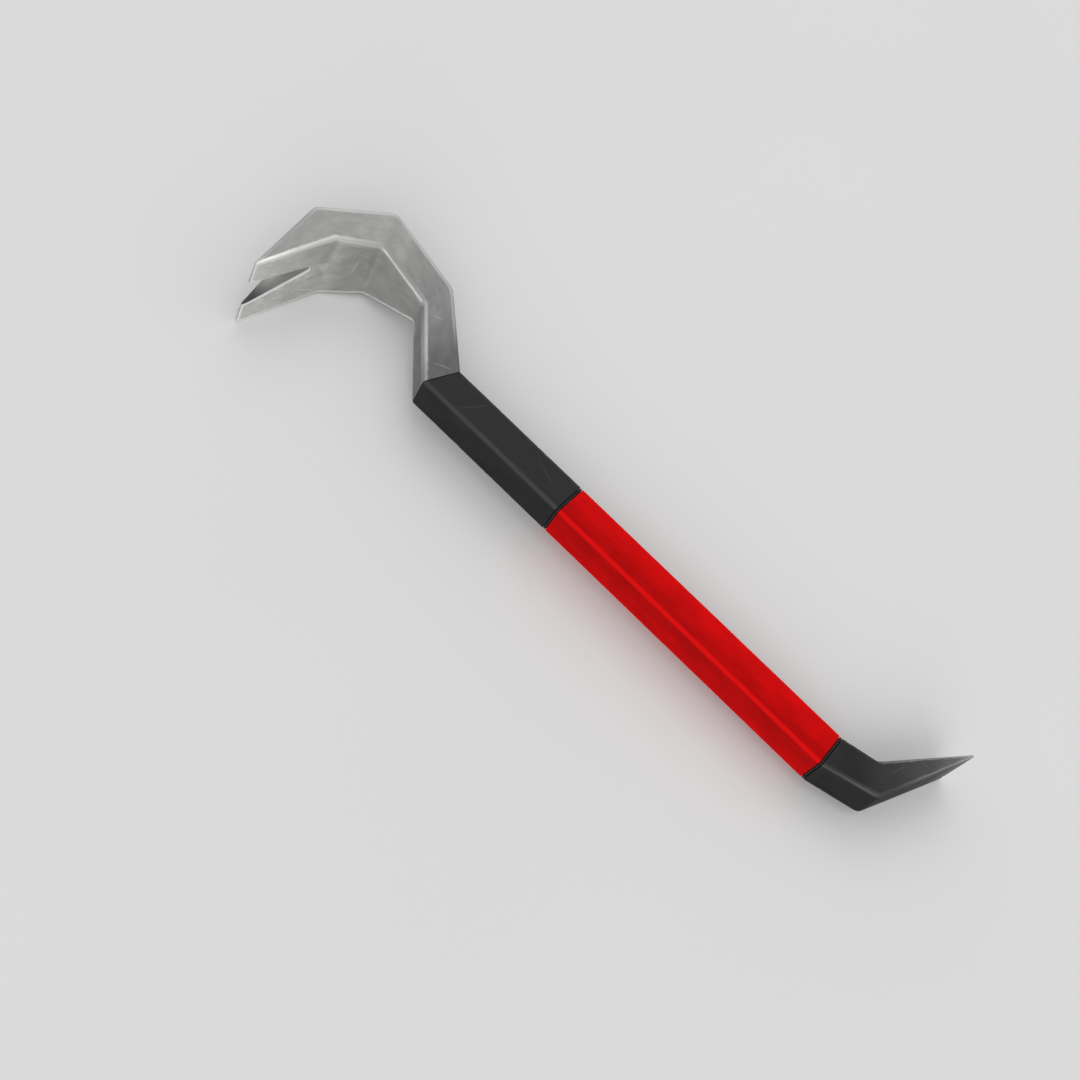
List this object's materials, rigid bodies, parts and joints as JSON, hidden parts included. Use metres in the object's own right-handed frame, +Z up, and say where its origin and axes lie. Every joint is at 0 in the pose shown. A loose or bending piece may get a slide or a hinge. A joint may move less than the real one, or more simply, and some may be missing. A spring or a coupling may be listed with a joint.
{
  "type": "wrecking bar",
  "caption": "Gooseneck wrecking bar: a hooked, slotted nail claw and a bent, flared chisel, pinned into a flat-sided shaft with a flush red grip sleeve.",
  "frame": {"origin": "middle of the bar's footprint, on the floor that it lies on", "axes": "+X along the shaft from the claw to the chisel, +Y to the back of the hook, where the chisel's tip bends to, +Z up, square to the plane of the hook within 1.5 degrees"},
  "size_m": [0.4586, 0.1058, 0.0493],
  "materials": {
    "bare_forged_steel": "forged, then belt-ground and worn bright along the edges",
    "blackened_steel": "matt black oxide, scratched, ground bright towards the chisel edge",
    "red_vinyl": "satin moulded vinyl, mottled with use",
    "black_rubber": "matt moulded rubber",
    "ground_pin_steel": "fine ground, oiled"
  },
  "bodies": {
    "root": {"claw_head": "bare_forged_steel", "socket_sleeve": "blackened_steel", "grip_sleeve": "red_vinyl", "chisel_bar": "blackened_steel", "grip_seal_upper": "black_rubber", "grip_seal_lower": "black_rubber", "claw_pin_upper": "ground_pin_steel", "claw_pin_lower": "ground_pin_steel", "shank_pin_upper": "ground_pin_steel", "shank_pin_lower": "ground_pin_steel"}
  },
  "joints": []
}
